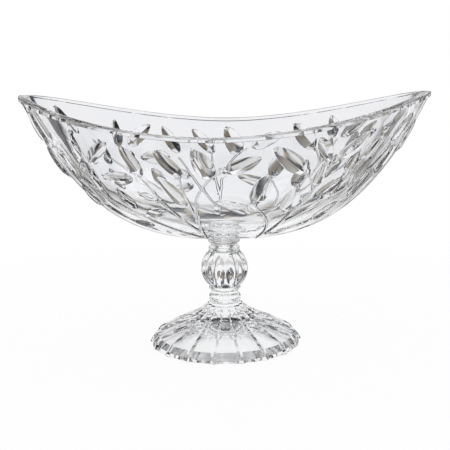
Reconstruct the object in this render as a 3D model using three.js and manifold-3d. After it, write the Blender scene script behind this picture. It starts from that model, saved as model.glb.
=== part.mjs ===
// Footed fruit bowl in clear pressed glass. An oval bowl with raised leaf sprays stands on a lobed
// stem and a panelled foot, and thin films of clear adhesive bond the three at flat faces.
// Millimetres, +Z up, with the bowl's long way along X and its front towards -Y.

import * as THREE from "three";
import { mergeVertices } from "three/addons/utils/BufferGeometryUtils.js";
import Module from "manifold-3d";

const wasm = await Module();
wasm.setup();

// Foot
const footRadius = 76.3;
const footHeight = 51.9;
const footFlareRadius = 16.2;
const footFlareHeight = 44;
const domePullOut = 24;
const domePullUp = 17.3;
const flarePullOut = 1.8;
const flarePullDown = 11;
const shoulderInset = 6.2;
const shoulderHeight = 10;
const bevelInset = 2.7;
const bevelHeight = 6;
const edgeChamfer = 1.2;
const standingWidth = 8.5;
const recessHeight = 17;
const panelCount = 18;
const panelDepth = 0.9;
const panelSink = 0.5;
const panelTurn = THREE.MathUtils.degToRad(5.4);
const ridgeAngle = THREE.MathUtils.degToRad(4.8);
const ridgeTop = 40;
const ridgeFull = 28;

// Stem
const stemLength = 48.1;
const neckRadius = 13.4;
const ringRadius = 16;
const ringThickness = 4.4;
const neckLength = 2;
const knopRadius = 24;
const knopEndRadius = 15.2;
const knopSwell = 0.8;
const lobeCount = 14;
const lobeDepth = 2.4;
const lobeTurn = THREE.MathUtils.degToRad(-7);

// Bonds
const bondThickness = 0.25;
const bondInset = 0.4;

// Bowl
const bowlLength = 400;
const bowlWidth = 190;
const bowlDepth = 108.5;
const bossHeight = 8;
const endRise = 32.5;
const sideWall = 5.6;
const endWall = 10;
const baseThickness = 9;
const lipHeight = 4.6;
const lipRound = 2.6;
const lipLedge = 0.5;
const planPower = 3;
const planSoftness = 0.65;
const risePower = 1.78;
const wallPower = 3;

// Leaf sprays
const leafPitch = 0.42;
const leafCrown = 0.8;
const leafEdgeSink = 0.35;
const leafRoot = 1.9;
const leafRootShare = 0.6;
const leafBaseFacet = 0.22;
const leafMiddle = 0.5;
const leafTipFacet = 0.78;
const leafFullness = 2.36;
const leafSwell = 0.55;
const leafTaper = 0.7;
const twigWidth = 2.7;
const twigHeight = 1.2;
const twigStep = 12;
const backTurn = 5;

// Facets
const bowlSteps = 52;
const wallRows = 10;
const innerRows = 8;
const stepsPerLobe = 3;
const knopRows = 10;
const domeRows = 9;
const arcSteps = 4;
const twigSamples = 24;

// Levels from the table up
const stemBottom = footHeight + bondThickness;
const stemTop = stemBottom + stemLength;
const bossBottom = stemTop + bondThickness;
const bowlBottom = bossBottom + bossHeight;
const halfLength = bowlLength / 2;
const halfWidth = bowlWidth / 2;

const clearGlass = { color: 0xf3f5f7, roughness: 0.03, metalness: 0, transparent: true, opacity: 0.35 };
const clearBond = { color: 0xf7f7f4, roughness: 0.1, metalness: 0, transparent: true, opacity: 0.35 };

// Leaves one bare closed skin: positions only, shared corners merged, no flat triangles.
function closedSkin(geometry) {
  geometry.deleteAttribute("normal");
  geometry.deleteAttribute("uv");
  const skin = mergeVertices(geometry, 1e-4);
  const corners = skin.index.array;
  const kept = [];
  for (let i = 0; i < corners.length; i += 3) {
    const [a, b, c] = [corners[i], corners[i + 1], corners[i + 2]];
    if (a !== b && b !== c && c !== a) {
      kept.push(a, b, c);
    }
  }
  skin.setIndex(kept);
  return skin;
}

function toSolid(geometry) {
  const skin = closedSkin(geometry);
  const vertProperties = Float32Array.from(skin.attributes.position.array);
  const triVerts = Uint32Array.from(skin.index.array);
  return new wasm.Manifold(new wasm.Mesh({ numProp: 3, vertProperties, triVerts }));
}

function toGeometry(solid) {
  const mesh = solid.getMesh();
  const geometry = new THREE.BufferGeometry();
  geometry.setAttribute("position", new THREE.BufferAttribute(mesh.vertProperties, 3));
  geometry.setIndex(new THREE.BufferAttribute(mesh.triVerts, 1));
  return geometry;
}

// Closed skin over loops of points. A loop of one point closes that end.
function loft(loops) {
  const positions = [];
  const starts = [];
  for (const loop of loops) {
    starts.push(positions.length / 3);
    loop.forEach((point) => positions.push(point.x, point.y, point.z));
  }
  const corners = [];
  for (let row = 0; row + 1 < loops.length; row += 1) {
    const lower = loops[row].length;
    const upper = loops[row + 1].length;
    const count = Math.max(lower, upper);
    for (let i = 0; i < count; i += 1) {
      const a = starts[row] + (i % lower);
      const b = starts[row] + ((i + 1) % lower);
      const c = starts[row + 1] + ((i + 1) % upper);
      const d = starts[row + 1] + (i % upper);
      if (lower > 1) {
        corners.push(a, b, c);
      }
      if (upper > 1) {
        corners.push(a, c, d);
      }
    }
  }
  const geometry = new THREE.BufferGeometry();
  geometry.setAttribute("position", new THREE.Float32BufferAttribute(positions, 3));
  geometry.setIndex(corners);
  return geometry;
}

// Profile points are (radius, height), from the bottom of the axis to its top.
function revolve(profile, steps) {
  return new THREE.LatheGeometry(profile, steps).rotateX(Math.PI / 2);
}

const at = (radius, height) => new THREE.Vector2(radius, height);

// Half-round collar on a neck, listed upwards.
function collar(centre) {
  const points = [];
  for (let i = 0; i <= arcSteps; i += 1) {
    const turn = Math.PI * (i / arcSteps - 0.5);
    const radius = neckRadius + (ringRadius - neckRadius) * Math.cos(turn);
    points.push(at(radius, centre + (ringThickness / 2) * Math.sin(turn)));
  }
  return points;
}

// Foot

const collarOffset = neckLength + ringThickness / 2;

// The foot's outer profile at a ridge's crest, from the standing face up to the bond.
function footProfile() {
  const dome = new THREE.CubicBezierCurve(
    at(footRadius - shoulderInset, shoulderHeight),
    at(footFlareRadius + domePullOut, shoulderHeight + domePullUp),
    at(footFlareRadius + flarePullOut, footFlareHeight - flarePullDown),
    at(footFlareRadius, footFlareHeight),
  );
  return [
    at(footRadius - edgeChamfer, 0),
    at(footRadius, edgeChamfer),
    at(footRadius - bevelInset, bevelHeight),
    ...dome.getPoints(domeRows),
    ...collar(footHeight - collarOffset),
    at(neckRadius, footHeight),
  ];
}

// The domed hollow under the foot, from its crown down to the standing face.
function recessProfile() {
  const radius = footRadius - edgeChamfer - standingWidth;
  const sphere = (radius ** 2 + recessHeight ** 2) / (2 * recessHeight);
  const points = [];
  for (let i = 0; i <= arcSteps; i += 1) {
    const r = (radius * i) / arcSteps;
    points.push(at(r, Math.sqrt(sphere ** 2 - r ** 2) - (sphere - recessHeight)));
  }
  return points;
}

const panelPitch = (2 * Math.PI) / panelCount;

// Each panel has three corners: the crest of a ridge and the two edges of the flat beside it.
function footAngles() {
  const angles = [];
  for (let panel = 0; panel < panelCount; panel += 1) {
    const crest = (panel + 0.5) * panelPitch + panelTurn - Math.PI / 2;
    angles.push({ turn: crest, flat: false });
    angles.push({ turn: crest + ridgeAngle / 2, flat: true });
    angles.push({ turn: crest + panelPitch - ridgeAngle / 2, flat: true });
  }
  return angles;
}

function roundRing({ x, y }) {
  return footAngles().map(({ turn }) => new THREE.Vector3(x * Math.cos(turn), x * Math.sin(turn), y));
}

// Ring whose flats lie on a polygon inside the crests, which die away towards the flare's top.
function panelRing({ x, y }) {
  const depth = panelDepth * THREE.MathUtils.smoothstep(ridgeTop - y, 0, ridgeTop - ridgeFull);
  const flatRadius = ((x - depth) * Math.cos(panelPitch / 2)) / Math.cos((panelPitch - ridgeAngle) / 2);
  const flatHeight = y > 0 ? y - depth * panelSink : y;
  return footAngles().map(({ turn, flat }) => {
    const radius = flat ? flatRadius : x;
    return new THREE.Vector3(radius * Math.cos(turn), radius * Math.sin(turn), flat ? flatHeight : y);
  });
}

function foot() {
  const loops = [[new THREE.Vector3(0, 0, recessHeight)]];
  recessProfile()
    .slice(1)
    .forEach((point) => loops.push(roundRing(point)));
  for (const point of footProfile()) {
    loops.push(point.y > footFlareHeight ? roundRing(point) : panelRing(point));
  }
  loops.push([new THREE.Vector3(0, 0, footHeight)]);
  return loft(loops);
}

// Stem

const knopBottom = collarOffset + ringThickness / 2;
const knopTop = stemLength - knopBottom;

function stem() {
  const knop = [];
  for (let i = 0; i <= knopRows; i += 1) {
    const swell = Math.sin((Math.PI * i) / knopRows) ** knopSwell;
    const radius = knopEndRadius + (knopRadius - knopEndRadius) * swell;
    knop.push(at(radius, THREE.MathUtils.lerp(knopBottom, knopTop, i / knopRows)));
  }
  const profile = [
    at(0, 0),
    at(neckRadius, 0),
    ...collar(collarOffset),
    ...knop,
    ...collar(stemLength - collarOffset),
    at(neckRadius, stemLength),
    at(0, stemLength),
  ];
  const geometry = revolve(profile, lobeCount * stepsPerLobe);
  const position = geometry.attributes.position;
  const place = new THREE.Vector3();
  for (let i = 0; i < position.count; i += 1) {
    place.fromBufferAttribute(position, i);
    const along = (place.z - knopBottom) / (knopTop - knopBottom);
    if (along > 0 && along < 1) {
      const turn = Math.atan2(place.y, place.x) - lobeTurn;
      const groove = 1 - Math.abs(Math.cos((lobeCount * turn) / 2));
      const radius = Math.hypot(place.x, place.y);
      const cut = (lobeDepth * groove * Math.sin(Math.PI * along)) / radius;
      position.setXY(i, place.x * (1 - cut), place.y * (1 - cut));
    }
  }
  return geometry;
}

// Bond film between two necks
function bond() {
  const radius = neckRadius - bondInset;
  return new THREE.CylinderGeometry(radius, radius, bondThickness, 2 * lobeCount).rotateX(Math.PI / 2);
}

// Bowl. A bearing of 0 faces the front and a quarter turn faces +X. Reach runs from 0 on the axis
// to 1 at the rim.

function plan(bearing) {
  const along = Math.sin(bearing);
  const out = (1 - Math.abs(along) ** planPower) ** planSoftness;
  return { along, out: -Math.sign(Math.cos(bearing)) * out };
}

const rimRise = (bearing) => endRise * Math.abs(Math.sin(bearing)) ** risePower;

function outerWall(bearing, reach) {
  const { along, out } = plan(bearing);
  const height = bowlBottom + (bowlDepth + rimRise(bearing)) * reach ** wallPower;
  return new THREE.Vector3(halfLength * reach * along, halfWidth * reach * out, height);
}

function innerWall(bearing, reach) {
  const { along, out } = plan(bearing);
  const depth = bowlDepth + rimRise(bearing) - baseThickness;
  const height = bowlBottom + baseThickness + depth * reach ** wallPower;
  const [length, width] = [halfLength - endWall, halfWidth - sideWall];
  return new THREE.Vector3(length * reach * along, width * reach * out, height);
}

// A point of the lip: across runs from 0 outside to 1 inside, drop is measured down from the rim.
function lip(bearing, across, drop) {
  const point = outerWall(bearing, 1).lerp(innerWall(bearing, 1), across);
  point.z -= drop;
  return point;
}

// Reach at a drop below the rim, for a wall that rises from a floor above the bowl's bottom.
function reachBelow(bearing, floor, drop) {
  return (1 - drop / (bowlDepth + rimRise(bearing) - floor)) ** (1 / wallPower);
}

// The wall's loops run up the outside, over the rounded lip and down the inside.
function wall() {
  const bearings = Array.from({ length: bowlSteps }, (_, i) => (2 * Math.PI * i) / bowlSteps);
  const loops = [[outerWall(0, 0)]];
  for (let row = 1; row <= wallRows; row += 1) {
    loops.push(bearings.map((b) => outerWall(b, (reachBelow(b, 0, lipHeight) * row) / wallRows)));
  }
  loops.push(bearings.map((b) => lip(b, 0, lipHeight - lipLedge)));
  for (let i = 0; i < arcSteps; i += 1) {
    const turn = (Math.PI * i) / arcSteps;
    const drop = lipRound * (1 - Math.sin(turn));
    loops.push(bearings.map((b) => lip(b, (1 - Math.cos(turn)) / 2, drop)));
  }
  for (let row = innerRows; row >= 1; row -= 1) {
    const share = row / innerRows;
    loops.push(bearings.map((b) => innerWall(b, reachBelow(b, baseThickness, lipRound) * share)));
  }
  loops.push([innerWall(0, 0)]);
  return loft(loops);
}

// Neck and collar under the bowl, running up into its base.
function boss() {
  const profile = [
    at(0, bossBottom),
    at(neckRadius, bossBottom),
    ...collar(bossBottom + collarOffset),
    at(neckRadius, bowlBottom + baseThickness / 2),
    at(0, bowlBottom + baseThickness / 2),
  ];
  return revolve(profile, lobeCount * stepsPerLobe);
}

// The wall's point, its two slopes and its outward normal at a bearing and reach.
function wallFrame(bearing, reach) {
  const step = 1e-4;
  const point = outerWall(bearing, reach);
  const byBearing = outerWall(bearing + step, reach).sub(point).divideScalar(step);
  const byReach = outerWall(bearing, reach + step).sub(point).divideScalar(step);
  return { point, byBearing, byReach, normal: byBearing.clone().cross(byReach).normalize() };
}

// A point at a height above the wall.
function raised(bearing, reach, height) {
  const { point, normal } = wallFrame(bearing, reach);
  return point.addScaledVector(normal, height);
}

// A point at a distance aside of a line with that heading, and at a height above the wall.
function sideways(bearing, reach, heading, aside, height) {
  const { byBearing, byReach, normal } = wallFrame(bearing, reach);
  const ahead = byBearing.clone().multiplyScalar(heading.x).addScaledVector(byReach, heading.y);
  const side = ahead.clone().cross(normal).normalize();
  const [bb, br, rr] = [byBearing.lengthSq(), byBearing.dot(byReach), byReach.lengthSq()];
  const [sb, sr] = [side.dot(byBearing) * aside, side.dot(byReach) * aside];
  const scale = bb * rr - br * br;
  return raised(bearing + (sb * rr - sr * br) / scale, reach + (sr * bb - sb * br) / scale, height);
}

// Ridge of three points a station on top, with a root under it that reaches into the wall.
function ridge(stations) {
  const loops = stations.map(({ bearing, reach, heading, half, crown }) => {
    if (half === 0) {
      return [raised(bearing, reach, -leafEdgeSink)];
    }
    return [
      sideways(bearing, reach, heading, -half, -leafEdgeSink),
      raised(bearing, reach, crown),
      sideways(bearing, reach, heading, half, -leafEdgeSink),
      sideways(bearing, reach, heading, half * leafRootShare, -leafRoot),
      sideways(bearing, reach, heading, -half * leafRootShare, -leafRoot),
    ];
  });
  return toSolid(loft(loops));
}

const turnTo = (degrees) => THREE.MathUtils.degToRad(degrees);

// Leaf from base to tip: a pointed oval of two blades that meet at a midrib, of about one pitch all along.
function leaf([baseBearing, baseReach, tipBearing, tipReach, width]) {
  const heading = at(turnTo(tipBearing - baseBearing), tipReach - baseReach);
  const shares = [0, leafBaseFacet, leafMiddle, leafTipFacet, 1];
  const stations = shares.map((share) => {
    const fullness = leafFullness * share ** leafSwell * (1 - share) ** leafTaper;
    return {
      bearing: turnTo(baseBearing) + heading.x * share,
      reach: baseReach + heading.y * share,
      heading,
      half: (width / 2) * fullness,
      crown: leafPitch * (width / 2) * fullness ** leafCrown,
    };
  });
  return ridge(stations);
}

// Twig through its places, with a low ridged back.
function twig(places) {
  const curve = new THREE.SplineCurve(places.map(([bearing, reach]) => at(turnTo(bearing), reach)));
  const points = curve.getPoints(twigSamples).map(({ x, y }) => outerWall(x, y));
  let length = 0;
  for (let i = 1; i < points.length; i += 1) {
    length += points[i].distanceTo(points[i - 1]);
  }
  const count = Math.max(3, Math.round(length / twigStep));
  const stations = [];
  for (let i = 0; i <= count; i += 1) {
    const place = curve.getPoint(i / count);
    stations.push({
      bearing: place.x,
      reach: place.y,
      heading: curve.getTangent(i / count),
      half: i === 0 || i === count ? 0 : twigWidth / 2,
      crown: twigHeight,
    });
  }
  return ridge(stations);
}

// Sprays on the front wall. Leaves list base bearing, base reach, tip bearing, tip reach and width.
const twigs = [
  [[-10, 0.36], [-8, 0.69], [-7, 0.77], [-2, 0.86], [2, 0.89]],
  [[-9, 0.64], [-10, 0.74], [-11, 0.82], [-11, 0.87]],
  [[-10, 0.5], [-19, 0.73], [-22, 0.81], [-24, 0.85]],
  [[-12, 0.4], [-33, 0.62], [-46, 0.74], [-48, 0.85]],
  [[-46, 0.74], [-56, 0.81], [-60, 0.88]],
  [[27, 0.36], [22, 0.6], [13, 0.74]],
  [[27, 0.46], [30, 0.67], [34, 0.76], [31, 0.83], [27, 0.87]],
  [[33, 0.74], [35, 0.84], [37, 0.89]],
  [[30, 0.6], [42, 0.73], [47, 0.82], [50, 0.9]],
  [[42, 0.72], [58, 0.82], [64, 0.9]],
];

const leaves = [
  [-1, 0.86, -6, 0.968, 19],
  [3, 0.89, 13, 0.934, 15],
  [-10, 0.87, -17, 0.955, 13],
  [-11, 0.73, -18, 0.863, 15],
  [-23, 0.86, -27, 0.956, 13],
  [-27, 0.84, -40, 0.825, 15],
  [-20, 0.75, -28, 0.775, 10],
  [-20, 0.7, -33, 0.635, 12],
  [-34, 0.68, -37, 0.78, 12],
  [-49, 0.74, -43, 0.852, 11],
  [-43, 0.87, -31, 0.957, 15],
  [-48, 0.86, -44, 0.96, 12],
  [-58, 0.78, -57, 0.88, 12],
  [-63, 0.64, -61, 0.76, 13],
  [-67, 0.89, -70, 0.975, 15],
  [-75, 0.76, -79, 0.87, 13],
  [-34, 0.55, -46, 0.57, 10],
  [13, 0.74, 16, 0.873, 17],
  [14, 0.69, -1, 0.758, 13],
  [28, 0.86, 16, 0.962, 19],
  [27, 0.67, 27, 0.812, 17],
  [35, 0.89, 29, 0.972, 14],
  [38, 0.89, 48, 0.955, 15],
  [34, 0.79, 34, 0.892, 11],
  [45, 0.83, 46, 0.9, 12],
  [41, 0.71, 45, 0.821, 13],
  [53, 0.75, 50, 0.82, 9],
  [48, 0.87, 54, 0.925, 12],
  [62, 0.9, 69, 0.965, 15],
  [58, 0.7, 60, 0.82, 12],
  [66, 0.78, 70, 0.88, 13],
  [48, 0.57, 53, 0.69, 12],
  [75, 0.84, 79, 0.94, 12],
];

// The back wall mirrors the front, turned a little about the stem's axis.
const mirrored = (bearing) => 180 - backTurn - bearing;
const backLeaf = ([base, baseReach, tip, ...rest]) => [mirrored(base), baseReach, mirrored(tip), ...rest];
const backTwig = (places) => places.map(([bearing, reach]) => [mirrored(bearing), reach]);

function bowl() {
  let solid = toSolid(wall()).add(toSolid(boss()));
  for (const places of twigs) {
    solid = solid.add(twig(places)).add(twig(backTwig(places)));
  }
  for (const shape of leaves) {
    solid = solid.add(leaf(shape)).add(leaf(backLeaf(shape)));
  }
  return toGeometry(solid);
}

const fruitBowl = new THREE.Group();

function addPiece(name, geometry, look, height) {
  const mesh = new THREE.Mesh(closedSkin(geometry), new THREE.MeshStandardMaterial(look));
  mesh.name = name;
  mesh.position.z = height;
  fruitBowl.add(mesh);
}

addPiece("foot", foot(), clearGlass, 0);
addPiece("lower_bond", bond(), clearBond, footHeight + bondThickness / 2);
addPiece("stem", stem(), clearGlass, stemBottom);
addPiece("upper_bond", bond(), clearBond, stemTop + bondThickness / 2);
addPiece("bowl", bowl(), clearGlass, 0);

export default fruitBowl;
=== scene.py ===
import math
import bpy
import numpy as np
from mathutils import Matrix, Vector
from mathutils.geometry import delaunay_2d_cdt


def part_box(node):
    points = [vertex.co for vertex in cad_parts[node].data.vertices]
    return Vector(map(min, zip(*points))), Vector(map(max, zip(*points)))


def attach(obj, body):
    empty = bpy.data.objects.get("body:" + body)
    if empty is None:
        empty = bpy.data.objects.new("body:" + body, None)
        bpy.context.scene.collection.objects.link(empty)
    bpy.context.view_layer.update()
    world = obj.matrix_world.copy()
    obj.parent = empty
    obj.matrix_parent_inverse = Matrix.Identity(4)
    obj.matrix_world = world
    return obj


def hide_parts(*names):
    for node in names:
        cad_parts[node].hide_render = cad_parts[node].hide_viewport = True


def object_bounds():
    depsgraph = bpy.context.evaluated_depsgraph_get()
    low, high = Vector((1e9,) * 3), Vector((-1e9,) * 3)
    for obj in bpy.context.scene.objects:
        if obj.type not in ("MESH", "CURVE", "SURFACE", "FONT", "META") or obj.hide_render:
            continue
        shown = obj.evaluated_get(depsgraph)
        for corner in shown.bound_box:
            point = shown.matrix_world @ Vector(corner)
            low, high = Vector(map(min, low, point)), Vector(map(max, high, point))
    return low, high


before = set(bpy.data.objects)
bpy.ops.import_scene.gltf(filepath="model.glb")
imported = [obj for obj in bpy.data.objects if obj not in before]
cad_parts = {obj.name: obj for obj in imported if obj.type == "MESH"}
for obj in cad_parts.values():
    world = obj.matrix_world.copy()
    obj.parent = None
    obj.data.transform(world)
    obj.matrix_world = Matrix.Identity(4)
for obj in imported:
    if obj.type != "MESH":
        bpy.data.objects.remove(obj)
cadLow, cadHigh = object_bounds()
mm = 0.001  # pieces are worked out in millimetres and put into their meshes in metres


# Lowest and highest corner of a solid in the frame, in mm
def nodeBox(node):
    low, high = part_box(node)
    return np.array(low) / mm, np.array(high) / mm


stemLow, stemHigh = nodeBox("stem")
bowlLow, bowlHigh = nodeBox("bowl")
cadSize = (np.array(cadHigh) - np.array(cadLow)) / mm
print("frame:", sorted(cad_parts), "size mm:", np.round(cadSize, 1))


# Shader maths: a Wire is a socket that takes part in sums, a NodeBook adds the nodes

class Wire:
    def __init__(self, book, socket):
        self.book = book
        self.socket = socket

    def __add__(self, other):
        return self.book.math("ADD", self, other)

    def __sub__(self, other):
        return self.book.math("SUBTRACT", self, other)

    def __rsub__(self, other):
        return self.book.math("SUBTRACT", other, self)

    def __mul__(self, other):
        return self.book.math("MULTIPLY", self, other)

    def __truediv__(self, other):
        return self.book.math("DIVIDE", self, other)

    def __lt__(self, other):
        return self.book.math("LESS_THAN", self, other)

    __radd__ = __add__
    __rmul__ = __mul__


class NodeBook:
    def __init__(self, tree):
        self.tree = tree
        tree.nodes.clear()

    # any node: its type, its settings, the values or wires of its sockets, and the output wanted
    def node(self, kind, settings=None, sockets=None, out=0):
        made = self.tree.nodes.new(kind)
        for name, value in (settings or {}).items():
            if name == "stops":
                self.setStops(made.color_ramp, value)
            else:
                setattr(made, name, value)
        for name, value in (sockets or {}).items():
            if isinstance(value, Wire):
                self.tree.links.new(value.socket, made.inputs[name])
            else:
                made.inputs[name].default_value = value
        return Wire(self, made.outputs[out]) if made.outputs else made

    def setStops(self, ramp, stops):
        while len(ramp.elements) < len(stops):
            ramp.elements.new(0.5)
        for element, (place, colour) in zip(ramp.elements, stops):
            element.position = place
            element.color = (*colour, 1.0)

    def math(self, operation, first, second=0.0):
        return self.node("ShaderNodeMath", {"operation": operation}, {0: first, 1: second})

    # 0 below low, 1 above high, an S between
    def step(self, value, low, high):
        settings = {"interpolation_type": "SMOOTHSTEP"}
        return self.node("ShaderNodeMapRange", settings, {"Value": value, "From Min": low, "From Max": high})

    # 1 up to a soft limit, which is a pair of values
    def upTo(self, value, limit):
        return 1 - self.step(value, *limit)

    # 1 between two soft limits
    def between(self, value, lower, upper):
        return self.step(value, *lower) * self.upTo(value, upper)

    def mixColour(self, share, first, second):
        settings = {"data_type": "RGBA"}
        return self.node("ShaderNodeMix", settings, {0: share, 6: first, 7: second}, out=2)

    def ramp(self, place, stops):
        return self.node("ShaderNodeValToRGB", {"stops": stops}, {0: place})

    def noise(self, place, scale, detail):
        return self.node("ShaderNodeTexNoise", None, {"Vector": place, "Scale": scale, "Detail": detail})

    # the noise behind a patchy look, with its pattern shifted
    def patchNoise(self, place, look):
        moved = self.node("ShaderNodeVectorMath", {"operation": "ADD"}, {0: place, 1: look["patchShift"]})
        return self.noise(moved, look["patchScale"], look["patchDetail"])

    def isRay(self, kind):
        return self.node("ShaderNodeLightPath", out="Is " + kind + " Ray")

    # 1 on rays that come from a mirroring or clear surface
    def inGlass(self):
        return self.math("MAXIMUM", self.isRay("Glossy"), self.isRay("Transmission"))


# A material and the book of its nodes
def newMaterial(name):
    material = bpy.data.materials.new(name)
    material.use_nodes = True
    return material, NodeBook(material.node_tree)


# Glass

glassFinish = dict(
    tint=(0.985, 0.99, 0.995, 1.0),
    tintDeep=(0.97, 0.98, 0.99, 1.0),
    index=1.57,
    polish=0.0,
    polishRange=0.008,
    cloudScale=14.0,
    cloudDetail=2.0,
    cloudRange=(0.35, 0.65),
    waveScale=30.0,
    waveDetail=1.0,
    waveDepth=0.00005,
)


# Clear glass: faint clouds in its tint and polish, and a slight wave in its surface
def clearGlass(name, finish):
    material, book = newMaterial(name)
    place = book.node("ShaderNodeTexCoord", out="Object")
    cloud = book.noise(place, finish["cloudScale"], finish["cloudDetail"])
    wave = book.noise(place, finish["waveScale"], finish["waveDetail"])
    normal = book.node("ShaderNodeBump", None, {
        "Strength": 1.0, "Distance": finish["waveDepth"], "Height": wave})
    deep = book.step(cloud, *finish["cloudRange"])
    shader = book.node("ShaderNodeBsdfPrincipled", None, {
        "Base Color": book.mixColour(deep, finish["tint"], finish["tintDeep"]),
        "Roughness": finish["polish"] + finish["polishRange"] * cloud,
        "Normal": normal,
        "IOR": finish["index"],
        "Transmission Weight": 1.0,
    })
    book.node("ShaderNodeOutputMaterial", None, {"Surface": shader})
    return material


# Bonded faces let light straight through, as glass cemented to glass does
def bondedFace(name):
    material, book = newMaterial(name)
    shader = book.node("ShaderNodeBsdfPrincipled", None, {"Alpha": 0.0})
    book.node("ShaderNodeOutputMaterial", None, {"Surface": shader})
    return material


bowlGlass = clearGlass("bowl_glass", dict(glassFinish, waveScale=60.0, waveDepth=0.00012))
stemGlass = clearGlass("stem_glass", glassFinish)
footGlass = clearGlass("foot_glass", glassFinish)
undersideGlass = clearGlass("underside_glass", dict(glassFinish, polish=0.09))  # a little less polished
adhesive = clearGlass("adhesive", dict(
    glassFinish, tint=(0.98, 0.98, 0.97, 1.0), tintDeep=(0.96, 0.96, 0.94, 1.0), index=1.5, polish=0.05))
cemented = bondedFace("cemented_face")
print("materials ready")


# Meshes

# Even steps of a full turn, in radians
def evenTurns(count):
    return 2 * np.pi * np.arange(count) / count


# Quads between neighbouring rings, facing outwards where rings run anticlockwise and are listed upwards
def tubeFaces(rings, columns, start):
    ring, column = np.mgrid[0:rings - 1, 0:columns]
    here = start + ring * columns + column
    beside = start + ring * columns + (column + 1) % columns
    return np.stack([here, beside, beside + columns, here + columns], -1).reshape(-1, 4)


# Quads between two rings of any indices
def bandFaces(lower, upper):
    return np.stack([lower, np.roll(lower, -1), np.roll(upper, -1), upper], -1)


# Triangles from a pole to a ring around it
def fanFaces(pole, ring, facingDown):
    after = np.roll(ring, -1)
    poles = np.full_like(ring, pole)
    return np.stack([poles, after, ring] if facingDown else [poles, ring, after], -1)


# Edges along a line of indices, and along a closed ring of them
def chainLines(chain):
    return np.stack([chain[:-1], chain[1:]], -1)


def ringLines(ring):
    return np.stack([ring, np.roll(ring, -1)], -1)


# One number for each edge, whichever way round its two ends are listed
def edgeKeys(pairs, count):
    return np.sort(pairs, axis=1).astype(np.int64) @ np.array([count, 1])


# groups: face arrays with their material's number; sharpPairs: edges that keep a crease
def makePiece(name, node, points, groups, materials, sharpPairs=None, creaseDegrees=None):
    mesh = bpy.data.meshes.new(name)
    faces = [face for array, _ in groups for face in array.tolist()]
    mesh.from_pydata((points * mm).tolist(), [], faces)
    mesh.polygons.foreach_set("use_smooth", np.ones(len(faces), bool))
    numbers = np.concatenate([np.full(len(array), number) for array, number in groups])
    mesh.polygons.foreach_set("material_index", numbers)
    for material in materials:
        mesh.materials.append(material)
    if creaseDegrees:
        mesh.set_sharp_from_angle(angle=math.radians(creaseDegrees))
    if sharpPairs is not None:
        ends = np.empty(len(mesh.edges) * 2, np.int32)
        mesh.edges.foreach_get("vertices", ends)
        listed = np.isin(edgeKeys(ends.reshape(-1, 2), len(points)), edgeKeys(sharpPairs, len(points)))
        byAngle = np.zeros(len(mesh.edges), bool)
        mesh.edges.foreach_get("use_edge_sharp", byAngle)
        mesh.edges.foreach_set("use_edge_sharp", listed | byAngle)
    mesh.update()
    piece = bpy.data.objects.new(name, mesh)
    bpy.context.scene.collection.objects.link(piece)
    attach(piece, "root")
    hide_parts(node)
    print(name, "vertices", len(points), "triangles", len(mesh.loops) - 2 * len(mesh.polygons))


# Necks and collars, alike on the three glass pieces

neck = dict(radius=13.4, collarRadius=16.0, collarThickness=4.4, collarSteps=9, length=2.0, bondInset=0.4)
collarOffset = neck["length"] + neck["collarThickness"] / 2
bondRadius = neck["radius"] - neck["bondInset"]


# Points of a half-round collar, (radius, height), listed upwards
def collarProfile(centre):
    turn = np.linspace(-np.pi / 2, np.pi / 2, neck["collarSteps"])
    radius = neck["radius"] + (neck["collarRadius"] - neck["radius"]) * np.cos(turn)
    return np.stack([radius, centre + neck["collarThickness"] / 2 * np.sin(turn)], -1)


# Foot: a domed profile with eighteen flat panels, and a sharp ridge between neighbours

footShape = dict(
    radius=76.3, flareRadius=16.2, flareHeight=44.0, shoulderInset=6.2, shoulderHeight=10.0,
    bevelInset=2.7, bevelHeight=6.0, edgeChamfer=1.2, standingWidth=8.5, recessHeight=17.0,
    panels=18, panelTurn=5.4, panelDepth=0.9, panelSink=0.5, ridgeAngle=4.8, ridgeTop=40.0, ridgeFull=28.0,
    domePull=((24.0, 17.3), (1.8, -11.0)), domeRows=40, recessRows=16, panelColumns=4, creaseDegrees=18,
)


# Cubic curve from the first of four points to the last, pulled towards the two between
def bezier(ends, share):
    p = np.array(ends, float)
    t = share[:, None]
    return (1 - t) ** 3 * p[0] + 3 * (1 - t) ** 2 * t * p[1] + 3 * (1 - t) * t ** 2 * p[2] + t ** 3 * p[3]


# The dome's profile at a ridge, (radius, height), from the standing face up to the bond
def footOutside(shape, height):
    (pullOut, pullUp), (flareOut, flareDown) = shape["domePull"]
    dome = bezier([
        (shape["radius"] - shape["shoulderInset"], shape["shoulderHeight"]),
        (shape["flareRadius"] + pullOut, shape["shoulderHeight"] + pullUp),
        (shape["flareRadius"] + flareOut, shape["flareHeight"] + flareDown),
        (shape["flareRadius"], shape["flareHeight"]),
    ], np.linspace(0, 1, shape["domeRows"]))
    return np.concatenate([
        [(shape["radius"] - shape["edgeChamfer"], 0.0), (shape["radius"], shape["edgeChamfer"])],
        [(shape["radius"] - shape["bevelInset"], shape["bevelHeight"])],
        dome,
        collarProfile(height - collarOffset),
        [(neck["radius"], height), (bondRadius, height)],
    ])


# The hollow's profile, part of a circle, from near its crown down to the standing face
def footHollow(shape):
    recessRadius = shape["radius"] - shape["edgeChamfer"] - shape["standingWidth"]
    sphere = (recessRadius ** 2 + shape["recessHeight"] ** 2) / (2 * shape["recessHeight"])
    outward = np.linspace(recessRadius / shape["recessRows"], recessRadius, shape["recessRows"])
    return np.stack([outward, np.sqrt(sphere ** 2 - outward ** 2) - sphere + shape["recessHeight"]], -1)


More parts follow.
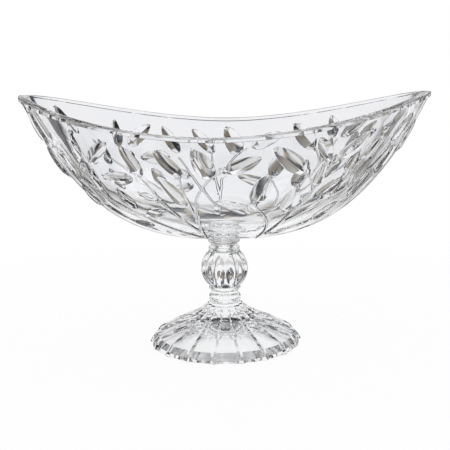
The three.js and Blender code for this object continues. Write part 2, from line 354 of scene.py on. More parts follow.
# The profile carried round the axis, its radius and height lowered on the panels
def makeFoot(shape):
    height = nodeBox("foot")[1][2]
    recess = footHollow(shape)
    profile = np.concatenate([recess, footOutside(shape, height)])
    pitch = 360 / shape["panels"]
    flat = np.linspace(shape["ridgeAngle"] / 2, pitch - shape["ridgeAngle"] / 2, shape["panelColumns"])
    ridgeTurn = (np.arange(shape["panels"]) + 0.5) * pitch + shape["panelTurn"] - 90
    turn = np.radians((ridgeTurn[:, None] + np.concatenate([[0], flat])).ravel())
    # a panel is flat from ridge to ridge: its radius falls to the chord between them
    chord = np.cos(np.radians(pitch / 2)) / np.cos(np.radians(flat - pitch / 2))
    flatness = np.tile(np.concatenate([[1], chord]), shape["panels"])
    sunk = np.tile(np.concatenate([[0], np.ones(len(flat))]), shape["panels"])
    faceted = np.arange(len(profile)) >= len(recess)
    faceted &= profile[:, 1] <= shape["flareHeight"]
    # the ridges die away towards the top of the flare
    fade = np.clip((shape["ridgeTop"] - profile[:, 1]) / (shape["ridgeTop"] - shape["ridgeFull"]), 0, 1)
    fade = fade ** 2 * (3 - 2 * fade) * faceted
    depth = shape["panelDepth"] * fade[:, None] * sunk
    radius = (profile[:, :1] - depth) * np.where(faceted[:, None], flatness, 1)
    level = profile[:, 1:] - np.where(profile[:, 1:] > 0, depth * shape["panelSink"], 0)
    rings = np.stack([radius * np.cos(turn), radius * np.sin(turn), level], -1)
    columns = len(turn)
    points = np.concatenate([rings.reshape(-1, 3), [(0, 0, shape["recessHeight"]), (0, 0, height)]])
    last = (len(profile) - 1) * columns + np.arange(columns)
    crown, top = len(points) - 2, len(points) - 1
    skin = tubeFaces(len(profile), columns, 0)
    hollow = (len(recess) - 1) * columns
    groups = [
        (skin[hollow:], 0),
        (fanFaces(top, last, False), 1),
        (skin[:hollow], 2),
        (fanFaces(crown, np.arange(columns), True), 2),
    ]
    # creases run up each ridge and up the two edges of each panel
    perPanel = columns // shape["panels"]
    edges = np.flatnonzero(np.isin(np.arange(columns) % perPanel, [0, 1, perPanel - 1]))
    lower = (np.flatnonzero(faceted)[:-1, None] * columns + edges).ravel()
    makePiece("glass_foot", "foot", points, groups, [footGlass, cemented, undersideGlass],
              sharpPairs=np.stack([lower, lower + columns], -1), creaseDegrees=shape["creaseDegrees"])


makeFoot(footShape)


# Stem: a knop of round lobes between two collars

stemShape = dict(
    knopRadius=24.0, knopEndRadius=15.2, swellPower=0.8, lobes=14, lobeDepth=2.4, lobeTurn=-7.0,
    columnsPerLobe=12, knopRows=72, creaseDegrees=24,
)


# The knop swells with a power of the sine, and its grooves are cut by what a cosine leaves of 1
def makeStem(shape):
    bottom, top = stemLow[2], stemHigh[2]
    knopBottom = bottom + collarOffset + neck["collarThickness"] / 2
    knopTop = top - collarOffset - neck["collarThickness"] / 2
    share = np.linspace(0, 1, shape["knopRows"])
    swell = np.sin(np.pi * share) ** shape["swellPower"]
    knop = np.stack([
        shape["knopEndRadius"] + (shape["knopRadius"] - shape["knopEndRadius"]) * swell,
        knopBottom + (knopTop - knopBottom) * share,
    ], -1)
    profile = np.concatenate([
        [(bondRadius, bottom), (neck["radius"], bottom)],
        collarProfile(bottom + collarOffset),
        knop,
        collarProfile(top - collarOffset),
        [(neck["radius"], top), (bondRadius, top)],
    ])
    columns = shape["lobes"] * shape["columnsPerLobe"]
    turn = evenTurns(columns)
    groove = 1 - np.abs(np.cos(shape["lobes"] * turn / 2))
    along = np.clip((profile[:, 1] - knopBottom) / (knopTop - knopBottom), 0, 1)
    radius = profile[:, :1] - shape["lobeDepth"] * groove * np.sin(np.pi * along)[:, None]
    facing = turn + math.radians(shape["lobeTurn"])
    level = np.broadcast_to(profile[:, 1:], radius.shape)
    rings = np.stack([radius * np.cos(facing), radius * np.sin(facing), level], -1)
    points = np.concatenate([rings.reshape(-1, 3), [(0, 0, bottom), (0, 0, top)]])
    last = (len(profile) - 1) * columns + np.arange(columns)
    groups = [
        (tubeFaces(len(profile), columns, 0), 0),
        (fanFaces(len(points) - 2, np.arange(columns), True), 1),
        (fanFaces(len(points) - 1, last, False), 1),
    ]
    makePiece("glass_stem", "stem", points, groups, [stemGlass, cemented],
              creaseDegrees=shape["creaseDegrees"])


makeStem(stemShape)


# Bonds: thin films of clear adhesive between the necks

bondShape = dict(columns=96, creaseDegrees=40)


# A short tube closed by a fan at each end
def makeBond(node, shape):
    low, high = nodeBox(node)
    columns = shape["columns"]
    turn = evenTurns(columns)
    ring = np.stack([bondRadius * np.cos(turn), bondRadius * np.sin(turn)], -1)
    rings = [np.column_stack([ring, np.full(columns, level)]) for level in (low[2], high[2])]
    points = np.concatenate([*rings, [(0, 0, low[2]), (0, 0, high[2])]])
    groups = [
        (tubeFaces(2, columns, 0), 0),
        (fanFaces(2 * columns, np.arange(columns), True), 1),
        (fanFaces(2 * columns + 1, columns + np.arange(columns), False), 1),
    ]
    makePiece(node + "_film", node, points, groups, [adhesive, cemented],
              creaseDegrees=shape["creaseDegrees"])


makeBond("lower_bond", bondShape)
makeBond("upper_bond", bondShape)


# Bowl: a bearing of 0 faces the front and a quarter turn faces +X, and reach runs from 0 on the axis
# to 1 at the rim

bowlShape = dict(
    depth=108.5, bossHeight=8.0, sideWall=5.6, endWall=10.0, baseThickness=9.0,
    lipHeight=4.6, lipRound=2.6, lipLedge=0.5, lipLean=0.12, lipSteps=10, lipSquareness=3.0,
    planPower=3.0, planSoftness=0.65, risePower=1.78, wallPower=3.0,
    stations=360, innerRows=48, skirtReach=0.2, skirtStations=120, skirtRows=6,
    bossFillet=1.2, filletSteps=6, spacing=3.6, clearance=1.3, rimClearance=0.008, backTurn=5.0,
    slantSteps=400, mapHalf=(250.0, 150.0), mergeWithin=1e-5, slopeStep=1e-4,
)

leafShape = dict(
    pitch=0.47, crown=0.8, baseFacet=0.22, fullness=2.36, swell=0.55, taper=0.7, steps=13,
    bulge=-0.2, edgeHeight=0.35, edgeWidth=0.4, leastWidth=1e-6,
)
twigShape = dict(
    rootHalf=1.7, tipHalf=1.0, height=1.3, inner=0.55, step=4.0, fewestSteps=4, samples=200,
)

halfLength, halfWidth = bowlHigh[0], bowlHigh[1]
bowlBottom = bowlLow[2] + bowlShape["bossHeight"]
innerFloor = bowlBottom + bowlShape["baseThickness"]
rimHeight = bowlBottom + bowlShape["depth"]
endRise = bowlHigh[2] - rimHeight

# Twigs list places on the front wall, each a bearing in degrees and a reach
twigs = [
    [(-10, 0.36), (-8, 0.69), (-7, 0.77), (-2, 0.86), (2, 0.89)],
    [(-9, 0.64), (-10, 0.74), (-11, 0.82), (-11, 0.87)],
    [(-10, 0.5), (-19, 0.73), (-22, 0.81), (-24, 0.85)],
    [(-12, 0.4), (-33, 0.62), (-46, 0.74), (-48, 0.85)],
    [(-46, 0.74), (-56, 0.81), (-60, 0.88)],
    [(27, 0.36), (22, 0.6), (13, 0.74)],
    [(27, 0.46), (30, 0.67), (34, 0.76), (31, 0.83), (27, 0.87)],
    [(33, 0.74), (35, 0.84), (37, 0.89)],
    [(30, 0.6), (42, 0.73), (47, 0.82), (50, 0.9)],
    [(42, 0.72), (58, 0.82), (64, 0.9)],
]

# Leaves list base bearing, base reach, tip bearing, tip reach, and width in mm
leaves = [
    (-1, 0.86, -6, 0.968, 19),
    (3, 0.89, 13, 0.934, 15),
    (-10, 0.87, -17, 0.955, 13),
    (-11, 0.73, -18, 0.863, 15),
    (-23, 0.86, -27, 0.956, 13),
    (-27, 0.84, -40, 0.825, 15),
    (-20, 0.75, -28, 0.775, 10),
    (-20, 0.7, -33, 0.635, 12),
    (-34, 0.68, -37, 0.78, 12),
    (-49, 0.74, -43, 0.852, 11),
    (-43, 0.87, -31, 0.957, 15),
    (-48, 0.86, -44, 0.96, 12),
    (-58, 0.78, -57, 0.88, 12),
    (-63, 0.64, -61, 0.76, 13),
    (-67, 0.89, -70, 0.975, 15),
    (-75, 0.76, -79, 0.87, 13),
    (-34, 0.55, -46, 0.57, 10),
    (13, 0.74, 16, 0.873, 17),
    (14, 0.69, -1, 0.758, 13),
    (28, 0.86, 16, 0.962, 19),
    (27, 0.67, 27, 0.812, 17),
    (35, 0.89, 29, 0.972, 14),
    (38, 0.89, 48, 0.955, 15),
    (34, 0.79, 34, 0.892, 11),
    (45, 0.83, 46, 0.9, 12),
    (41, 0.71, 45, 0.821, 13),
    (53, 0.75, 50, 0.82, 9),
    (48, 0.87, 54, 0.925, 12),
    (62, 0.9, 69, 0.965, 15),
    (58, 0.7, 60, 0.82, 12),
    (66, 0.78, 70, 0.88, 13),
    (48, 0.57, 53, 0.69, 12),
    (75, 0.84, 79, 0.94, 12),
]


# Plan of the rim: x follows the sine of the bearing, y a softened power of what the sine leaves
def planCurve(bearing):
    along = np.sin(bearing)
    out = np.clip(1 - np.abs(along) ** bowlShape["planPower"], 0, None) ** bowlShape["planSoftness"]
    return along, -np.sign(np.cos(bearing)) * out


# The rim rises towards both tips with a power of the sine
def rimAt(bearing):
    return rimHeight + endRise * np.abs(np.sin(bearing)) ** bowlShape["risePower"]


# A wall: the plan grows evenly with reach while the height grows with its cube
def shellPoint(bearing, reach, length, width, floor):
    along, out = planCurve(bearing)
    height = floor + (rimAt(bearing) - floor) * reach ** bowlShape["wallPower"]
    return np.stack([length * reach * along, width * reach * out, height], -1)


def outerWall(bearing, reach):
    return shellPoint(bearing, reach, halfLength, halfWidth, bowlBottom)


def innerWall(bearing, reach):
    length = halfLength - bowlShape["endWall"]
    return shellPoint(bearing, reach, length, halfWidth - bowlShape["sideWall"], innerFloor)


# Reach at a drop below the rim, on the wall that rises from this floor
def reachBelow(bearing, floor, drop):
    return (1 - drop / (rimAt(bearing) - floor)) ** (1 / bowlShape["wallPower"])


# Slopes of the outer wall by bearing and by reach, from a small step either way
def wallSlopes(bearing, reach):
    step = bowlShape["slopeStep"]
    byBearing = outerWall(bearing + step, reach) - outerWall(bearing - step, reach)
    byReach = outerWall(bearing, reach + step) - outerWall(bearing, reach - step)
    return byBearing / (2 * step), byReach / (2 * step)


# Outwards from the wall, square to both slopes and 1 long
def wallNormal(bearing, reach):
    normal = np.cross(*wallSlopes(bearing, reach))
    return normal / np.linalg.norm(normal, axis=-1, keepdims=True)


# The flat map on which the wall is triangulated: an ellipse whose rim is where the lip begins, and whose
# rings lie apart as they do along the slant of a wall of middling size
meanHalf = (halfLength + halfWidth) / 2
meanDepth = bowlShape["depth"] + endRise / 2
slantReach = np.linspace(0, 1, bowlShape["slantSteps"])
slantRise = bowlShape["wallPower"] * meanDepth * slantReach ** (bowlShape["wallPower"] - 1)
slantSpeed = np.hypot(meanHalf, slantRise)
slant = np.concatenate([[0], np.cumsum((slantSpeed[1:] + slantSpeed[:-1]) / 2 * np.diff(slantReach))])
mapLong, mapShort = bowlShape["mapHalf"]


# Reach at which the lip begins
def lipReach(bearing):
    return reachBelow(bearing, bowlBottom, bowlShape["lipHeight"])


# A place's share of the slant up to the lip is its share of the ellipse, and the other way round
def toMap(bearing, reach):
    share = np.interp(reach, slantReach, slant) / np.interp(lipReach(bearing), slantReach, slant)
    return np.stack([mapLong * share * np.sin(bearing), -mapShort * share * np.cos(bearing)], -1)


def fromMap(flat):
    across, up = flat[:, 0] / mapLong, flat[:, 1] / mapShort
    bearing = np.arctan2(across, -up)
    rim = np.interp(lipReach(bearing), slantReach, slant)
    return bearing, np.interp(np.hypot(across, up) * rim, slant, slantReach)


# A leaf lies on the plane that touches the wall at its middle: along runs from 0 at the base to 1 at
# the tip, aside is in mm, and the chart turns steps of bearing and reach into mm on that plane
class Leaf:
    def __init__(self, row):
        baseBearing, baseReach, tipBearing, tipReach, width = row
        self.base = np.array([math.radians(baseBearing), baseReach])
        reachOut = np.array([math.radians(tipBearing), tipReach]) - self.base
        self.half = width / 2
        slopes = np.stack(wallSlopes(*(self.base + reachOut / 2)), -1)
        self.chart = np.linalg.cholesky(slopes.T @ slopes).T
        axis = self.chart @ reachOut
        self.length = np.linalg.norm(axis)
        self.ahead = axis / self.length
        self.side = np.array([-self.ahead[1], self.ahead[0]])

    # along and aside of places on the wall, and the other way round
    def place(self, bearing, reach):
        turn = (bearing - self.base[0] + np.pi) % (2 * np.pi) - np.pi
        offset = np.stack([turn, reach - self.base[1]], -1) @ self.chart.T
        return offset @ self.ahead / self.length, offset @ self.side

    def onWall(self, along, aside):
        offset = along[:, None] * self.length * self.ahead + aside[:, None] * self.side
        return self.base + offset @ np.linalg.inv(self.chart).T

    # half the width as a share of the fullest: a pointed oval, fullest before its middle
    def swell(self, along):
        a = np.clip(along, 0, 1)
        return leafShape["fullness"] * a ** leafShape["swell"] * (1 - a) ** leafShape["taper"]

    def width(self, along):
        return self.half * self.swell(along)

    # half the width inside the steep edge
    def bladeWidth(self, along):
        width = self.width(along)
        return np.maximum(width - leafShape["edgeWidth"], width / 2)

    # two blades fall from the midrib at about one pitch to a low steep edge, and the midrib slopes up
    # from the base
    def height(self, bearing, reach):
        along, aside = self.place(bearing, reach)
        base, least = leafShape["baseFacet"], leafShape["leastWidth"]
        rise = np.minimum(along / base, 1)
        crown = self.swell(np.maximum(along, base)) ** leafShape["crown"] * rise
        width = np.maximum(self.width(along), least)
        fall = np.clip(1 - np.abs(aside) / width, 0, None)
        fall = fall * (1 + leafShape["bulge"] * (1 - fall))
        edge = np.clip((width - np.abs(aside)) / np.maximum(width - self.bladeWidth(along), least), 0, 1)
        inside = (along > 0) & (along < 1)
        height = leafShape["pitch"] * self.half * crown * fall + leafShape["edgeHeight"] * edge * rise
        return np.where(inside, height, 0)

    # whether places lie on the leaf or within a margin of it
    def near(self, bearing, reach, margin):
        along, aside = self.place(bearing, reach)
        end = margin / self.length
        return (along > -end) & (along < 1 + end) & (np.abs(aside) < self.width(along) + margin)

    # places of the midrib, of the edges and of each blade's middle, with the creases and the soft lines
    # that join them
    def outline(self):
        spread = (1 - np.cos(np.linspace(0, np.pi, leafShape["steps"]))) / 2
        along = np.unique(np.append(spread, leafShape["baseFacet"]))
        inner = along[1:-1]
        count = len(inner)
        edge, blade = self.width(inner), self.bladeWidth(inner)
        offsets = (edge, -edge, blade, -blade, blade / 2, -blade / 2)
        midrib = self.onWall(along, np.zeros(len(along)))
        places = [midrib] + [self.onWall(inner, aside) for aside in offsets]
        sides = count + 2 + count * np.arange(len(offsets))[:, None] + np.arange(count)
        chains = [np.arange(count + 2)] + [np.r_[0, side, count + 1] for side in sides]
        lines = [chainLines(chain) for chain in chains]
        # the base facet's edge runs from the midrib over each blade's middle to its steep edge
        base = np.searchsorted(inner, leafShape["baseFacet"])
        blades, middles = sides[2:4, base], sides[4:, base]
        facet = [np.stack([np.full(2, base + 1), middles], -1), np.stack([middles, blades], -1)]
        return np.concatenate(places), np.concatenate(lines[:5] + facet), np.concatenate(lines[5:])


# A twig is a round rib along a curve through its places, thinner towards its tip
class Twig:
    def __init__(self, places):
        knots = np.array(places, float) * (math.pi / 180, 1)
        ends = np.concatenate([2 * knots[:1] - knots[1:2], knots, 2 * knots[-1:] - knots[-2:-1]])
        t = np.linspace(0, len(knots) - 1, twigShape["samples"])
        span = np.minimum(t.astype(int), len(knots) - 2)
        f = (t - span)[:, None]
        # each span is a cubic whose slope at a place is that between the places before and after it
        p0, p1, p2, p3 = (ends[span + i] for i in range(4))
        square = 2 * p0 - 5 * p1 + 4 * p2 - p3
        cube = 3 * (p1 - p2) + p3 - p0
        curve = p1 + 0.5 * f * (p2 - p0 + f * (square + f * cube))
        spots = outerWall(curve[:, 0], curve[:, 1])
        run = np.concatenate([[0], np.cumsum(np.linalg.norm(np.diff(spots, axis=0), axis=1))])
        count = max(twigShape["fewestSteps"], int(run[-1] / twigShape["step"]))
        even = np.linspace(0, run[-1], count + 1)
        self.line = np.stack([np.interp(even, run, curve[:, i]) for i in range(2)], -1)
        share = even / run[-1]
        self.half = twigShape["rootHalf"] + (twigShape["tipHalf"] - twigShape["rootHalf"]) * share
        self.spots = outerWall(self.line[:, 0], self.line[:, 1])

    # distance to the twig's line as a share of its half width there, and distance to its edge in mm
    def spread(self, spots):
        start, way = self.spots[:-1], np.diff(self.spots, axis=0)
        offset = spots[:, None] - start
        along = np.clip(np.sum(offset * way, -1) / np.sum(way ** 2, -1), 0, 1)
        apart = np.linalg.norm(offset - along[..., None] * way, axis=-1)
        half = self.half[:-1] + along * np.diff(self.half)
        return np.min(apart / half, axis=1), np.min(apart - half, axis=1)

    # half an ellipse across the twig
    def height(self, spots):
        spread, _ = self.spread(spots)
        return twigShape["height"] * np.sqrt(np.clip(1 - spread ** 2, 0, None))

    # lines along the crest, halfway down and at both edges, joined at the two ends
    def outline(self):
        byBearing, byReach = wallSlopes(self.line[:, 0], self.line[:, 1])
        heading = np.gradient(self.line, axis=0)
        ahead = byBearing * heading[:, :1] + byReach * heading[:, 1:]
        side = np.cross(ahead, wallNormal(self.line[:, 0], self.line[:, 1]))
        side /= np.linalg.norm(side, axis=-1, keepdims=True)
        slopes = np.stack([byBearing, byReach], -1)
        sideways = np.einsum("nij,ni->nj", slopes, side)[..., None]
        step = np.linalg.solve(np.swapaxes(slopes, 1, 2) @ slopes, sideways)
        step = step[..., 0] * self.half[:, None]
        inner = twigShape["inner"]
        count = len(self.line)
        offsets = (-1, -inner, inner, 1)
        rows = [self.line] + [self.line[1:-1] + offset * step[1:-1] for offset in offsets]
        places = np.concatenate(rows)
        starts = count + (count - 2) * np.arange(len(offsets))
        chains = [np.arange(count)]
        chains += [np.r_[0, start + np.arange(count - 2), count - 1] for start in starts]
        lines = [chainLines(chain) for chain in chains]
        return places, np.concatenate([lines[1], lines[4]]), np.concatenate([lines[0], lines[2], lines[3]])


# The back wall mirrors the front, turned a little
def mirrored(bearing):
    return 180 - bowlShape["backTurn"] - bearing


frontAndBackLeaves = leaves + [(mirrored(b), r, mirrored(c), s, w) for b, r, c, s, w in leaves]
frontAndBackTwigs = twigs + [[(mirrored(b), r) for b, r in places] for places in twigs]


# The outer wall: leaf and twig outlines and a spread of places between them, triangulated on the map
def carvedWall(rimBearing, skirtBearing):
    leafList = [Leaf(row) for row in frontAndBackLeaves]
    twigList = [Twig(places) for places in frontAndBackTwigs]
    rim = np.stack([rimBearing, lipReach(rimBearing)], -1)
    skirt = np.stack([skirtBearing, np.full(len(skirtBearing), bowlShape["skirtReach"])], -1)
    count = len(rim) + len(skirt)
    blocks, sharp = [rim, skirt], []
    soft = [ringLines(np.arange(len(rim))), ringLines(np.arange(len(rim), count))]
    for shape in leafList + twigList:
        places, creases, softLines = shape.outline()
        blocks.append(places)
        sharp.append(creases + count)
        soft.append(softLines + count)
        count += len(places)
    blocks.append(openPlaces(leafList, twigList))
    places = np.concatenate(blocks)
    flat = toMap(places[:, 0], places[:, 1])
    sharpLines = np.concatenate(sharp)
    lines = np.concatenate([sharpLines, *soft])
    made = delaunay_2d_cdt(flat.tolist(), lines.tolist(), [], 0, bowlShape["mergeWithin"], True)
    spread, edges, triangles, _, edgeSources, _ = made
    bearing, reach = fromMap(np.array(spread))
    corners = np.array(triangles)[:, ::-1]
    inSkirt = (corners >= len(rim)) & (corners < len(rim) + len(skirt))
    corners = corners[~inSkirt.all(axis=1)]  # the skirt's middle is left open for the boss
    kept = np.array([bool(ids) and min(ids) < len(sharpLines) for ids in edgeSources])
    spots = outerWall(bearing, reach)
    height = np.zeros(len(spots))
    for leaf in leafList:
        height = np.maximum(height, leaf.height(bearing, reach))
    for twig in twigList:
        height = np.maximum(height, twig.height(spots))
    height[:len(rim) + len(skirt)] = 0
    return spots + height[:, None] * wallNormal(bearing, reach), corners, np.array(edges)[kept]


# Places spread over the plain wall, ring by ring, clear of leaves and twigs
def openPlaces(leafList, twigList):
    spacing = bowlShape["spacing"]
    lowest = np.interp(bowlShape["skirtReach"], slantReach, slant)
    rings = []
    count = int((slant[-1] - lowest) / spacing)
    for number in range(1, count):
        level = lowest + (slant[-1] - lowest) * number / count
        reach = np.interp(level, slant, slantReach)
        around = int(2 * np.pi * level / spacing)
        bearing = 2 * np.pi * (np.arange(around) + 0.5 * (number % 2)) / around
        rings.append(np.stack([bearing, np.full(around, reach)], -1))
    places = np.concatenate(rings)
    bearing, reach = places.T
    clear = reach < lipReach(bearing) - bowlShape["rimClearance"]
    for leaf in leafList:
        clear &= ~leaf.near(bearing, reach, bowlShape["clearance"])
    spots = outerWall(bearing, reach)
    for twig in twigList:
        clear &= twig.spread(spots)[1] > bowlShape["clearance"]
    return places[clear]


# Lip and inner wall: rings listed up over the lip and down the inside, the lip a squared half round
def lipAndInside(bearing):
    turn = np.linspace(0, np.pi, 2 * bowlShape["lipSteps"] + 1)[:-1]
    power = 1 / bowlShape["lipSquareness"]
    across = np.concatenate([[0], 0.5 - 0.5 * np.sign(np.cos(turn)) * np.abs(np.cos(turn)) ** power])
    drop = np.concatenate([
        [bowlShape["lipHeight"] - bowlShape["lipLedge"]],
        bowlShape["lipRound"] * (1 - np.sin(turn) ** power),
    ])
    # the lip's outer face leans part of the way that the wall does, its inner face follows the wall
    edge, fall = outerWall(bearing, 1.0), drop[:, None]
    outer = edge + bowlShape["lipLean"] * (outerWall(bearing, reachBelow(bearing, bowlBottom, fall)) - edge)
    inner = innerWall(bearing, reachBelow(bearing, innerFloor, fall))
    lip = outer + (inner - outer) * across[:, None, None]
    lip[..., 2] = rimAt(bearing) - fall
    share = np.linspace(1, 0, bowlShape["innerRows"] + 1)[:-1, None]
    inside = innerWall(bearing[None], share * reachBelow(bearing, innerFloor, bowlShape["lipRound"]))
    return np.concatenate([lip, inside])


# Neck, collar and skirt under the bowl, listed upwards and outwards to the wall's innermost ring
def bossRings(bearing, skirt):
    low = bowlLow[2]
    fillet = bowlShape["bossFillet"]
    turn = np.linspace(0, np.pi / 2, bowlShape["filletSteps"])
    profile = np.concatenate([
        [(bondRadius, low), (neck["radius"], low)],
        collarProfile(low + collarOffset),
        np.stack([
            neck["radius"] + fillet * (1 - np.cos(turn)), bowlBottom - fillet * (1 - np.sin(turn))], -1),
    ])
    around = np.stack([np.sin(bearing), -np.cos(bearing)], -1)
    level = np.broadcast_to(profile[:, None, 1:], (len(profile), len(bearing), 1))
    plain = np.concatenate([profile[:, None, :1] * around, level], -1)
    # the skirt goes out evenly and rises as the wall does
    share = np.linspace(0, 1, bowlShape["skirtRows"] + 2)[1:-1, None, None]
    rise = share ** bowlShape["wallPower"]
    spread = plain[-1] + (skirt - plain[-1]) * np.concatenate([share, share, rise], -1)
    return np.concatenate([plain, spread])


# The carved wall, the lip and inside over it, the boss under it, and a fan at each pole
def makeBowl():
    rimBearing = evenTurns(bowlShape["stations"])
    skirtBearing = evenTurns(bowlShape["skirtStations"])
    wall, corners, sharpPairs = carvedWall(rimBearing, skirtBearing)
    print("carved wall triangles", len(corners))
    rim = np.arange(len(rimBearing))
    skirt = len(rim) + np.arange(len(skirtBearing))
    inside = lipAndInside(rimBearing)
    boss = bossRings(skirtBearing, wall[skirt])
    insideStart = len(wall)
    bossStart = insideStart + inside.shape[0] * len(rim)
    poles = bossStart + boss.shape[0] * len(skirt)
    points = np.concatenate([
        wall, inside.reshape(-1, 3), boss.reshape(-1, 3), [(0, 0, innerFloor), (0, 0, bowlLow[2])]])
    firstLip = insideStart + rim
    lastInside = bossStart - len(rim) + rim
    lastBoss = poles - len(skirt) + np.arange(len(skirt))
    groups = [
        (corners, 0),
        (bandFaces(rim, firstLip), 0),
        (tubeFaces(inside.shape[0], len(rim), insideStart), 0),
        (fanFaces(poles, lastInside, False), 0),
        (tubeFaces(boss.shape[0], len(skirt), bossStart), 0),
        (bandFaces(lastBoss, skirt), 0),
        (fanFaces(poles + 1, bossStart + np.arange(len(skirt)), True), 1),
    ]
    # the ledge under the lip keeps its creases, as the leaves and twigs do
    crease = np.concatenate([sharpPairs, ringLines(rim), ringLines(firstLip)])
    makePiece("glass_bowl", "bowl", points, groups, [bowlGlass, cemented], sharpPairs=crease)


makeBowl()


# Camera at the photograph's angle: distances in mm, angles in degrees, focal length in pixels of its frame

photoView = dict(
    distance=978.0, height=321.0, pitch=11.65, yaw=-4.65, roll=-0.95, pan=0.07,
    focal=1006.0, frame=450.0, sensor=36.0, clipStart=50.0,
)


# It looks at the axis from yaw, tips down by pitch, pans aside and then rolls
def makeCamera(view):
    yaw, pitch, roll, pan = (math.radians(view[name]) for name in ("yaw", "pitch", "roll", "pan"))
    right = Vector((math.cos(yaw), -math.sin(yaw), 0))
    ahead = Vector((math.sin(yaw) * math.cos(pitch), math.cos(yaw) * math.cos(pitch), -math.sin(pitch)))
    ahead = (ahead + math.tan(pan) * right).normalized()
    right = (right - right.dot(ahead) * ahead).normalized()
    up = right.cross(ahead)
    across = math.cos(roll) * right + math.sin(roll) * up
    upright = math.cos(roll) * up - math.sin(roll) * right
    data = bpy.data.cameras.new("camera")
    data.sensor_width = view["sensor"]
    data.lens = data.sensor_width * view["focal"] / view["frame"]
    data.clip_start = view["clipStart"] * mm
    camera = bpy.data.objects.new("camera", data)
    turned = Matrix((across, upright, -ahead)).transposed().to_4x4()
    place = Vector((
        -math.sin(yaw) * view["distance"], -math.cos(yaw) * view["distance"], view["height"])) * mm
    camera.matrix_world = Matrix.Translation(place) @ turned
    bpy.context.scene.collection.objects.link(camera)
    bpy.context.scene.camera = camera


makeCamera(photoView)


# Stage: a pale floor that fades into the white around it, sizes in metres; glass sees it white round the
# foot, with painted shade in patches further out, and white again where a painted sheen lies on it at a low
# angle

stage = dict(
    radius=0.62, fadeFrom=0.36, gap=0.0003, columns=96, rings=24,
    colour=(0.95, 0.95, 0.955, 1.0), gloss=0.35, specular=0.25, cameraWhite=0.92,
    glassWhite=0.11, glassGrey=0.3, paintedSheenFrom=0.64, paintedSheenFull=0.74,
    patchScale=14.0, patchDetail=1.0, patchShift=(0.0, 0.3, 0.0),
)

# The floor's painted shade patches, which only glass sees, from painted shadow to a pale grey
paintedFloorShadeStops = [
    (0.39, (0.02, 0.02, 0.025)),
    (0.43, (0.06, 0.1, 0.16)),
    (0.46, (0.31, 0.24, 0.16)),
    (0.52, (0.52, 0.505, 0.48)),
    (0.62, (0.8, 0.8, 0.81)),
]


# Pale and lit as it is, with its own white for the camera and for glass, painted shade patches and a painted
# sheen where glass sees it, and clear at its edge
def floorFinish():
    material, book = newMaterial("pale_floor")
    place = book.node("ShaderNodeTexCoord", out="Object")
    far = book.node("ShaderNodeVectorMath", {"operation": "LENGTH"}, {0: place}, out="Value")
    pale = book.node("ShaderNodeBsdfPrincipled", None, {
        "Base Color": stage["colour"], "Roughness": stage["gloss"], "Specular IOR Level": stage["specular"]})
    inGlass = book.inGlass()
    # painted shade: dark patches glowing on the floor where only glass sees them
    paintedShadePatches = book.ramp(book.patchNoise(place, stage), paintedFloorShadeStops)
    # painted sheen: where glass sees the floor at a low angle its glow turns white, a painted reflection of
    # the white around it
    facing = book.node("ShaderNodeLayerWeight", out="Facing")
    paintedSheen = book.step(facing, stage["paintedSheenFrom"], stage["paintedSheenFull"])
    # the painted shade patches show beyond the white round the foot, and give way to the painted sheen
    paintedShadeShare = book.step(far, stage["glassWhite"], stage["glassGrey"]) * inGlass * (1 - paintedSheen)
    white = book.node("ShaderNodeEmission", None, {
        "Color": book.mixColour(paintedShadeShare, (1.0, 1.0, 1.0, 1.0), paintedShadePatches), "Strength": 1.0})
    ownWhite = book.math("MAXIMUM", book.isRay("Camera") * stage["cameraWhite"], inGlass)
    lit = book.node("ShaderNodeMixShader", None, {0: ownWhite, 1: pale, 2: white})
    clear = book.node("ShaderNodeBsdfTransparent")
    fade = book.step(far, stage["fadeFrom"], stage["radius"])
    mixed = book.node("ShaderNodeMixShader", None, {0: fade, 1: lit, 2: clear})
    book.node("ShaderNodeOutputMaterial", None, {"Surface": mixed})
    return material


# A flat disc of rings round its middle, just under the foot
def makeFloor():
    columns, rings = stage["columns"], stage["rings"]
    turn = evenTurns(columns)
    radius = np.linspace(0, stage["radius"], rings + 1)[1:, None]
    level = np.full((rings, columns), -stage["gap"])
    points = np.stack([radius * np.cos(turn), radius * np.sin(turn), level], -1).reshape(-1, 3)
    points = np.concatenate([points, [(0, 0, -stage["gap"])]])
    faces = tubeFaces(rings, columns, 0)[:, ::-1].tolist()
    faces += fanFaces(len(points) - 1, np.arange(columns), False).tolist()
    mesh = bpy.data.meshes.new("floor")
    mesh.from_pydata(points.tolist(), [], faces)
    mesh.materials.append(floorFinish())
    floor = bpy.data.objects.new("floor", mesh)
    bpy.context.scene.collection.objects.link(floor)


makeFloor()


# Light: an even white room, which glass sees as a dim patchy one with white cards and lamps

# Eight wide low cards stand in a ring, one of them straight behind the object, each with a narrower one
# that stands taller in its middle, and one more card hangs high behind the object; angles in degrees
studio = dict(
    plain=1.0, cards=8, cardColour=(0.97, 0.965, 0.985, 1.0),
    cardSide=(15.5, 18.5), cardLow=(-36.0, -28.0), cardHigh=(-4.4, -2.8),
    tallSide=(5.0, 8.0), tallHigh=(4.0, 16.0),
    highSide=(16.0, 22.0), highFrom=(8.0, 12.0), highTo=(22.0, 34.0),
    patchScale=3.5, patchDetail=2.0, patchShift=(0.0, 5.0, 0.0),
)

# A ring of lamps overhead, with gaps where the room's patches are dark
lamp = dict(low=(44.0, 48.0), high=(60.0, 66.0), gaps=(0.48, 0.51), colour=(1.0, 1.0, 1.0, 1.0))

# The room's patches, from shadow to a pale wall
patchStops = [
    (0.4, (0.02, 0.02, 0.022)),
    (0.43, (0.05, 0.1, 0.18)),
    (0.46, (0.2, 0.15, 0.1)),
    (0.52, (0.28, 0.265, 0.24)),
    (0.58, (0.34, 0.335, 0.33)),
    (0.66, (0.48, 0.51, 0.56)),
]

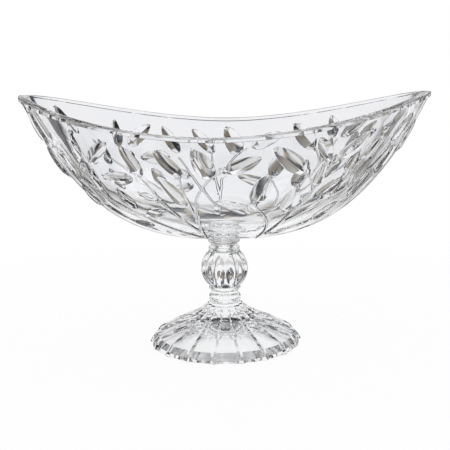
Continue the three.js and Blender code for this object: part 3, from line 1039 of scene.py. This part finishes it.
# What the patches are dimmed by, by degrees above the horizon: a warm band, a blue one, then the dark
roomHeights = [
    (-90, (1.0, 1.0, 1.0)),
    (6, (1.0, 1.0, 1.0)),
    (10, (0.66, 0.5, 0.32)),
    (15, (0.16, 0.24, 0.4)),
    (22, (0.1, 0.11, 0.14)),
    (32, (0.05, 0.05, 0.05)),
]


# Cards and lamps are masks over the angles of a ray, laid over the patches
def makeStudio():
    world = bpy.data.worlds.new("studio")
    bpy.context.scene.world = world
    world.use_nodes = True
    book = NodeBook(world.node_tree)
    ray = book.node("ShaderNodeTexCoord", out="Generated")
    x, y, z = (book.node("ShaderNodeSeparateXYZ", None, {0: ray}, out=i) for i in range(3))
    lift = book.math("ARCSINE", z) * math.degrees(1)
    turn = book.math("ARCTAN2", x, y) * math.degrees(1) - photoView["yaw"]
    # degrees aside of the middle of the nearest card
    sector = 360 / studio["cards"]
    aside = (0.5 - book.math("ABSOLUTE", book.math("FRACT", turn / sector + studio["cards"]) - 0.5)) * sector
    patch = book.patchNoise(ray, studio)
    heightStops = [((degrees + 90) / 180, tone) for degrees, tone in roomHeights]
    shade = book.ramp(lift / 180.0 + 0.5, heightStops)
    room = book.node("ShaderNodeMix", {"data_type": "RGBA", "blend_type": "MULTIPLY"},
                     {0: 1.0, 6: book.ramp(patch, patchStops), 7: shade}, out=2)
    inWide = book.upTo(aside, studio["cardSide"]) * book.upTo(lift, studio["cardHigh"])
    inTall = book.upTo(aside, studio["tallSide"]) * book.upTo(lift, studio["tallHigh"])
    inLow = book.math("MAXIMUM", inWide, inTall) * book.step(lift, *studio["cardLow"])
    inHigh = book.between(lift, studio["highFrom"], studio["highTo"])
    inHigh = inHigh * book.upTo(book.math("ABSOLUTE", turn), studio["highSide"])
    inCard = book.math("MAXIMUM", inLow, inHigh)
    inLamp = book.between(lift, lamp["low"], lamp["high"]) * book.step(patch, *lamp["gaps"])
    glassView = book.mixColour(inLamp, book.mixColour(inCard, room, studio["cardColour"]), lamp["colour"])
    # light that the floor has scattered stays plain
    scattered = book.node("ShaderNodeLightPath", out="Diffuse Depth")
    through = book.inGlass() * (scattered < 0.5)
    colour = book.mixColour(through, (studio["plain"],) * 3 + (1.0,), glassView)
    back = book.node("ShaderNodeBackground", None, {"Color": colour, "Strength": 1.0})
    book.node("ShaderNodeOutputWorld", None, {"Surface": back})


makeStudio()

scene = bpy.context.scene
scene.view_settings.view_transform = "Standard"
# glass behind glass takes many bounces
scene.cycles.max_bounces = 32
scene.cycles.transmission_bounces = 32
scene.cycles.glossy_bounces = 12
scene.cycles.transparent_max_bounces = 48
print("stage, light and camera ready")
